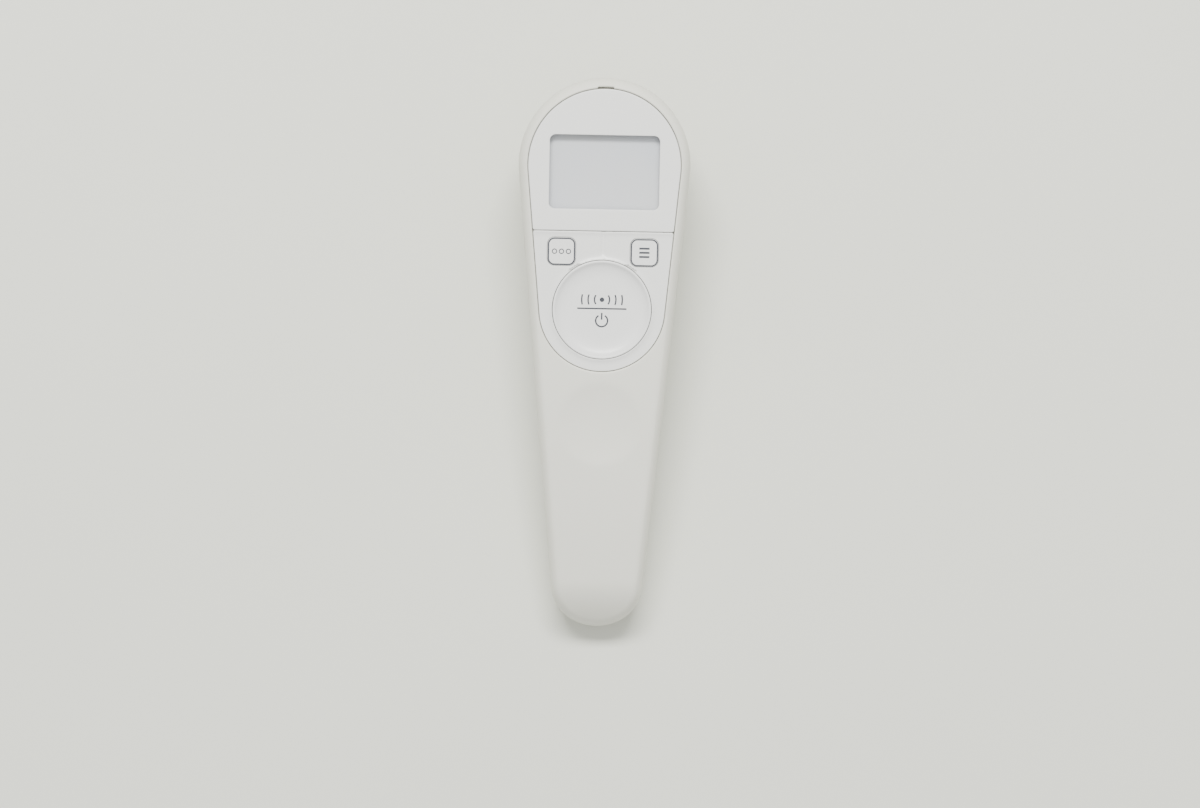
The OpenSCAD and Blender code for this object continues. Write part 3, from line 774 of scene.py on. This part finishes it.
def key_height(x, y):
    """The crest round the start button with its two notches, the middle groove and the step's
    rolled edge."""
    r = math.hypot(x, y - START_Y)
    crest = CREST_H * max(0.0, 1 - max(0.0, r - START_R) / CREST_OUT) ** CREST_CURVE
    groove = 0.0
    if y > START_Y:
        groove = (GROOVE_DEPTH * math.exp(-(x / GROOVE_HALF) ** 2)
                  * smooth(START_R + 0.5, START_R + 2.0, r))
    roll = STEP_RISE * max(0.0, 1 - max(0.0, STEP_Y - y) / STEP_OUT) ** 3
    notch = 0.0
    if r < START_R + 1 and y > START_Y:
        a = math.degrees(math.atan2(abs(x), y - START_Y))
        across = 1 - smooth(0.2, 0.5, r - START_R - START_GAP)
        along = 1 - smooth(6.4, 7.6, abs(a - SIDE_NOTCH_TURN))
        notch = SIDE_NOTCH_DEPTH * across * along
    return KEY_TOP + max(crest, roll) - groove - notch


def key_panel():
    b = Build()
    r = START_R + START_GAP
    start_hole = [(0, START_Y, r, 0, 180, 80), (0, START_Y, r, 180, 360, 80)]
    holes = [start_hole] + [rounded_rect(s * KEY_X, KEY_Y, KEY_W + 0.2, KEY_W + 0.2, 1.9, 10)
                            for s in (-1, 1)]
    soft_plate(b, key_panel_outline(), holes, [0.2, 0.12, 0.08, 0.08], KEY_UNDER, key_height,
               0.42, 30)
    return finish_piece(b.mesh("key_plate", leaning), "casing", "panel", PANEL_WHITE, "key_panel")


display_panel()
key_panel()


def window_piece():
    b = Build()
    soft_plate(b, rounded_rect(0, WINDOW_Y, WINDOW_W + 3, WINDOW_H + 3, 2, 10), [], [0.05],
               WINDOW_UNDER, lambda x, y: DISPLAY_UNDER, 3.0)
    return finish_piece(b.mesh("window_pane", leaning), "casing", "window", WINDOW,
                        "display_window")


window_piece()


# ---------------------------------------------------------------- keys

CREST = KEY_TOP + CREST_H
HOLLOW = CREST - 1.3
START_STEM_R, KEY_STEM_R = 3, 1.6

# The start button's hollow and rounded edge, from the middle out. The points of the rise and the
# edge are given by their distance in from the edge and their depth under the crest.
DISH_PROFILE = curve_through(
    [(0.0, HOLLOW), (4.0, HOLLOW), (7.0, HOLLOW + 0.01)]
    + [(START_R - out, CREST - down) for out, down in (
        (4.2, 1.27), (3.3, 1.19), (2.6, 1.07), (1.9, 0.88), (1.35, 0.65), (0.95, 0.4),
        (0.6, 0.13), (0.36, 0.01), (0.14, 0.03), (0.04, 0.12), (0.0, 0.3))], 8)


def start_top(x, y):
    r = math.hypot(x, y - START_Y)
    for (r0, z0), (r1, z1) in zip(DISH_PROFILE, DISH_PROFILE[1:]):
        if r0 <= r <= r1:
            return z0 + (z1 - z0) * (r - r0) / max(r1 - r0, 1e-9)
    return DISH_PROFILE[-1][1]


def start_button():
    b = Build()
    b.lathe([(0, KEY_FOOT), (START_STEM_R - 0.1, KEY_FOOT), (START_STEM_R, KEY_FOOT + 0.1),
             (START_STEM_R, FLANGE_TOP), (START_R - 0.05, FLANGE_TOP),
             (START_R, FLANGE_TOP + 0.05)] + DISH_PROFILE[::-1], 180, (0, START_Y))
    piece = b.mesh("start_cap", leaning)
    return finish_piece(piece, "start", "key", KEY_WHITE, "start_button")


def key_top(side):
    """The top of a small key, with a faint hollow in its middle."""
    def height(x, y):
        apart = (x - side * KEY_X) ** 2 + (y - KEY_Y) ** 2
        return KEY_TOP - KEY_HOLLOW * math.exp(-apart / KEY_HOLLOW_SPREAD)
    return height


def small_key(side, name, body, node):
    b = Build()
    centre = (side * KEY_X, KEY_Y)
    soft_plate(b, rounded_rect(*centre, KEY_W, KEY_W, 1.8, 10), [], [0.1], FLANGE_TOP,
               key_top(side), 0.6)
    soft_plate(b, rounded_rect(*centre, KEY_W + 0.9, KEY_W + 0.9, 2.2, 8), [], [0.05],
               FLANGE_UNDER, lambda x, y: FLANGE_TOP, 3.0)
    b.lathe([(0, KEY_FOOT), (KEY_STEM_R - 0.05, KEY_FOOT), (KEY_STEM_R, KEY_FOOT + 0.05),
             (KEY_STEM_R, FLANGE_UNDER), (0, FLANGE_UNDER)], 48, centre)
    piece = b.mesh(name, leaning, weld=0.001)
    return finish_piece(piece, body, "key", KEY_WHITE, node)


start_button()
small_key(-1, "left_key_cap", "mode", "mode_key")
small_key(1, "right_key_cap", "memory", "memory_key")


# ---------------------------------------------------------------- printed marks

INK_T, INK_SUNK = 0.018, 0.03    # above and under the surface it lies on


def ribbon(b, path, width, height, closed=False):
    """A thin printed line along a path in the plan, lying on a surface."""
    n = len(path)
    left, right = [], []
    for i, (x, y) in enumerate(path):
        a = path[(i - 1) % n] if closed or i else path[i]
        c = path[(i + 1) % n] if closed or i < n - 1 else path[i]
        dx, dy = c[0] - a[0], c[1] - a[1]
        size = math.hypot(dx, dy) or 1
        nx, ny = -dy / size * width / 2, dx / size * width / 2
        left.append((x + nx, y + ny))
        right.append((x - nx, y - ny))
    count = n if closed else n - 1
    rows = [[(x, y, height(x, y) + INK_T) for x, y in left],
            [(x, y, height(x, y) + INK_T) for x, y in right],
            [(x, y, height(x, y) - INK_SUNK) for x, y in right],
            [(x, y, height(x, y) - INK_SUNK) for x, y in left]]
    points = [p for row in rows for p in row]
    faces = [(k * n + i, k * n + (i + 1) % n, ((k + 1) % 4) * n + (i + 1) % n,
              ((k + 1) % 4) * n + i) for k in range(4) for i in range(count)]
    if not closed:
        faces += [(0, n, 2 * n, 3 * n), (n - 1, 2 * n - 1, 3 * n - 1, 4 * n - 1)]
    b.add(points, faces)


def key_print(side, name, body):
    """A frame round the key's top, with three small rings on the left key and three bars on the
    right one."""
    b = Build()
    cx, top = side * KEY_X, key_top(side)
    ring = arcs_loop(rounded_rect(cx, KEY_Y, KEY_W - 0.55, KEY_W - 0.55, 1.52, 10), 0, 10)
    ribbon(b, ring, 0.38, top, closed=True)
    for i in (-1, 0, 1):
        if side < 0:
            ribbon(b, arc(cx + 1.75 * i, KEY_Y, 0.55, 0, 345, 23), 0.24, top, closed=True)
        else:
            y = KEY_Y + 1.05 * i
            ribbon(b, line(cx - 1.3, y, cx + 1.3, y, 8), 0.5, top)
    return finish_piece(b.mesh(name, leaning, weld=0.0002), body, "key", INK)


def start_print():
    """A rule across the dish, with a dot between arcs above it and a ring with a bar in its gap
    below it."""
    b = Build()
    cy = START_Y
    ribbon(b, line(-6.2, cy + 0.2, 6.2, cy + 0.2), 0.38, start_top)
    ribbon(b, arc(0, cy - 2.85, 1.5, 122, 418, 48), 0.4, start_top)
    ribbon(b, line(0, cy - 2.6, 0, cy - 0.85, 6), 0.4, start_top)
    dot_y = cy + 2.45
    ribbon(b, arc(0, dot_y, 0.3, 0, 345, 23), 0.58, start_top, closed=True)
    for s, mid in ((1, 0), (-1, 180)):
        for r, half in ((1.9, 36), (3.5, 21), (5.1, 14.5)):
            ribbon(b, arc(0, dot_y, r, mid - half, mid + half, 16), 0.38, start_top)
    return finish_piece(b.mesh("start_mark", leaning, weld=0.0002), "start", "key", INK)


key_print(-1, "left_key_mark", "mode")
key_print(1, "right_key_mark", "memory")
start_print()


# ---------------------------------------------------------------- nose

CONE_TOP, CONE_DEPTH, THROAT_R, TUBE_R = 1.25, 6.35, 3.2, 4.6
COLLAR_H, COLLAR_TOP = 11, 17.6
NECK_R = NOSE_R - 0.15


def nose_collar():
    b = Build()
    b.lathe(arc(CONE_R + 0.7, 0.3, 0.3, 180, 270, 6) + arc(NOSE_R - 0.9, 0.9, 0.9, -90, 0, 12)
            + [(NOSE_R, 4), (NOSE_R, 8), (NOSE_R, COLLAR_H - 0.1), (NOSE_R - 0.05, COLLAR_H),
               (NECK_R, COLLAR_H + 0.05), (NECK_R, COLLAR_TOP), (NOSE_R - 1.5, COLLAR_TOP),
               (NOSE_R - 1.5, 2.4), (CONE_R + 1.0, 2.4), (CONE_R + 1.0, 1.1),
               (CONE_R + 0.4, 1.1), (CONE_R + 0.4, 0.3)], 180)
    return finish_piece(b.mesh("nose_ring", upright), "casing", "casing", NOSE_WHITE,
                        "nose_collar")


def optical_cone():
    """A thin mirror from the nose's rim in to the throat, with a short collar at its end."""
    b = Build()
    throat = CONE_TOP + CONE_DEPTH
    b.lathe([(CONE_R, CONE_TOP), (CONE_R + 0.05, 1.2), (CONE_R + 0.9, 1.2), (CONE_R + 0.9, 2.3),
             (CONE_R - 0.2, 2.6), (TUBE_R, 8), (TUBE_R, 9.4), (THROAT_R, 9.4),
             (THROAT_R, throat)]
            + [(THROAT_R + (CONE_R - THROAT_R) * t, throat - CONE_DEPTH * t)
               for t in (0.2, 0.4, 0.6, 0.8, 1.0)], 180)
    return finish_piece(b.mesh("mirror_cone", upright), "casing", "cone_metal", CONE,
                        "optical_cone")


nose_collar()
optical_cone()


# ---------------------------------------------------------------- cells and contacts

NUB_R, SEAL_R, SEAL_Z = 1.9, 4.2, 1.0    # the plus end's nub and the disc it stands on
BAND_END = 10.5
PLATE, BRIDGE = 3.6, 3.0                 # half widths of the contact plates


def cell(side, name, node):
    b = Build()
    r = CELL_R

    def turn(mark, profile):
        b.mark = mark
        if side > 0:
            b.lathe([(q, BAY_LEN - CONTACT_T - z) for q, z in profile], 96)
        else:
            b.lathe([(q, CONTACT_T + z) for q, z in profile], 96)

    sleeve, bare, band = 0, 1, 2
    turn(bare, [(0, 0), (NUB_R - 0.2, 0)] + arc(NUB_R - 0.2, 0.2, 0.2, -90, 0, 4)
         + [(NUB_R, SEAL_Z), (3.6, SEAL_Z), (SEAL_R, SEAL_Z)])
    turn(band, [(SEAL_R, SEAL_Z)] + arc(r - 0.55, SEAL_Z + 0.55, 0.55, -90, 0, 8)
         + [(r, BAND_END)])
    turn(sleeve, [(r, BAND_END), (r, 20), (r, 32)] + arc(r - 0.5, CELL_LEN - 0.5, 0.5, 0, 90, 8)
         + [(4.4, CELL_LEN)])
    turn(bare, [(4.4, CELL_LEN), (4.2, CELL_LEN - 0.15), (0, CELL_LEN - 0.12)])
    return finish_piece(b.mesh(name, along_cell(side)), "casing", "cell_sleeve",
                        [SLEEVE, NICKEL, BAND], node)


WIRE_R, COIL_WIDE, COIL_TAPER = 0.25, 2.9, 1.05


def spring(b, z0, z1, turns=4.2):
    """A conical coil from z0 to z1 on a cell's axis."""
    n, m = 150, 10
    direction = 1 if z1 > z0 else -1
    loops = []
    for i in range(n + 1):
        t = i / n
        a = 2 * math.pi * turns * t
        r = COIL_WIDE - COIL_TAPER * t
        inset = direction * WIRE_R
        z = z0 + inset + (z1 - z0 - 2 * inset) * smooth(0, 1, t)
        section = [2 * math.pi * j / m for j in range(m)]
        loops.append([((r + WIRE_R * math.cos(v)) * math.cos(a),
                       (r + WIRE_R * math.cos(v)) * math.sin(a), z + WIRE_R * math.sin(v))
                      for v in section])
    b.strips(loops)
    b.add(loops[0], [tuple(range(m))])
    b.add(loops[-1], [tuple(range(m))])


SPRING_H = BAY_LEN - 2 * CONTACT_T - CELL_LEN


def contact(name, side, x, y, z, springs, node, bevel=0.0):
    """A flat plate, with a spring where springs gives its two ends."""
    b = Build()
    b.box(x, y, z)
    for ends in springs:
        spring(b, *ends)
    return finish_piece(b.mesh(name, along_cell(side), bevel=bevel), "casing", "contact_metal",
                        NICKEL, node)


def contacts():
    near, far = (0, CONTACT_T), (BAY_LEN - CONTACT_T, BAY_LEN)
    square = (-PLATE, PLATE)
    contact("plus_plate", -1, square, square, near, [], "battery_contact_plus", 0.08)
    contact("minus_spring", 1, square, square, near, [(near[1], near[1] + SPRING_H)],
            "battery_contact_minus")
    contact("bridge_spring", -1, (-PLATE, 2 * CELL_X + PLATE), (-BRIDGE, BRIDGE), far,
            [(far[0], far[0] - SPRING_H)], "battery_bridge_contact")


cell(-1, "cell_left", "battery_cell_left")
cell(1, "cell_right", "battery_cell_right")
contacts()


# ---------------------------------------------------------------- CAD nodes that stay

KEPT = {
    "rear_housing": (CASING_WHITE, "casing"), "battery_cover": (CASING_WHITE, "casing"),
    "display_gasket": (FOAM, "foam"), "main_board": (BOARD, "board"),
    "lcd_glass": (LCD, "lcd"), "lcd_backlight": (DIFFUSER, "light_guide"),
    "lcd_holder": (INNER_WHITE, "inner_plastic"), "zebra_connector": (RUBBER, "elastomer"),
    "controller_chip": (BLACK, "black_plastic"), "board_components": (CERAMIC, "component"),
    "buzzer": (BLACK, "black_plastic"), "start_switch_body": (BLACK, "black_plastic"),
    "mode_switch_body": (BLACK, "black_plastic"), "memory_switch_body": (BLACK, "black_plastic"),
    "start_switch_plunger": (RUBBER, "black_plastic"),
    "mode_switch_plunger": (RUBBER, "black_plastic"),
    "memory_switch_plunger": (RUBBER, "black_plastic"),
    "sensor_holder": (INNER_WHITE, "inner_plastic"), "thermopile_sensor": (SENSOR, "sensor_metal"),
    "sensor_leads": (LEADS, "contact_metal"), "battery_wires": (RED_WIRE, "wire"),
    "housing_screws": (STEEL, "screw_metal"), "board_screws": (STEEL, "screw_metal"),
}
for name, (material, slot) in KEPT.items():
    piece = nodes[name]
    piece.data.materials.clear()
    piece.data.materials.append(material)


# ---------------------------------------------------------------- floor, light and camera

def floor_material():
    n = Nodes("pale_table")
    n.colour(n.ramp(n.noise(9, 4.0, 0.5), 0.3, 0.7, 0, 1), srgb(222, 223, 213),
             srgb(225, 226, 216))
    n.rough(n.noise(300, 4.0), 0.5, 0.62)
    n.bump(n.noise(1300, 3.0), 8e-6)
    return n.m


plane = bmesh.new()
bmesh.ops.create_grid(plane, x_segments=8, y_segments=8, size=2.5)
floor_data = bpy.data.meshes.new("floor")
plane.to_mesh(floor_data)
plane.free()
floor = bpy.data.objects.new("floor", floor_data)
bpy.context.scene.collection.objects.link(floor)
floor_data.materials.append(floor_material())

# The studio's light falls from above, so it is brighter overhead than along the horizon.
SKY_HORIZON, SKY_TOP = 0.34, 1.2
world = bpy.data.worlds.new("studio")
bpy.context.scene.world = world
world.use_nodes = True
tree = world.node_tree
sky = tree.nodes["Background"]
sky.inputs["Color"].default_value = (0.99, 1.0, 0.975, 1.0)
direction = tree.nodes.new("ShaderNodeTexCoord")
split = tree.nodes.new("ShaderNodeSeparateXYZ")
falloff = tree.nodes.new("ShaderNodeMapRange")
falloff.inputs["From Min"].default_value = 0.0
falloff.inputs["From Max"].default_value = 1.0
falloff.inputs["To Min"].default_value = SKY_HORIZON
falloff.inputs["To Max"].default_value = SKY_TOP
tree.links.new(direction.outputs["Generated"], split.inputs["Vector"])
tree.links.new(split.outputs["Z"], falloff.inputs["Value"])
tree.links.new(falloff.outputs["Result"], sky.inputs["Strength"])

LIGHT_ELEVATION, LIGHT_TURN, LIGHT_DISTANCE = math.radians(60), math.radians(4), 1.6
LIGHT_SIZE, LIGHT_STRENGTH = (0.9, 0.3), 5.4
to_light = Vector((-math.sin(LIGHT_TURN) * math.cos(LIGHT_ELEVATION),
                   math.cos(LIGHT_TURN) * math.cos(LIGHT_ELEVATION), math.sin(LIGHT_ELEVATION)))
lamp = bpy.data.lights.new("softbox", "AREA")
lamp.shape = "RECTANGLE"
lamp.size, lamp.size_y = LIGHT_SIZE
lamp.energy = LIGHT_STRENGTH * math.pi * LIGHT_DISTANCE ** 2
lamp.color = (1.0, 0.998, 0.965)
softbox = bpy.data.objects.new("softbox", lamp)
softbox.location = to_light * LIGHT_DISTANCE
softbox.rotation_mode = "QUATERNION"
softbox.rotation_quaternion = to_light.to_track_quat("Z", "Y")
bpy.context.scene.collection.objects.link(softbox)

CAMERA_HEIGHT, CAMERA_Y, CAMERA_ROLL, LENS = 1.0, -0.01272, 1.1, 115.7
camera_data = bpy.data.cameras.new("camera")
camera_data.lens = LENS
camera_data.sensor_width = 36
camera_data.clip_start = 0.01
camera = bpy.data.objects.new("camera", camera_data)
camera.location = (0, CAMERA_Y, CAMERA_HEIGHT)
camera.rotation_euler = (0, 0, math.radians(CAMERA_ROLL))
bpy.context.scene.collection.objects.link(camera)
bpy.context.scene.camera = camera
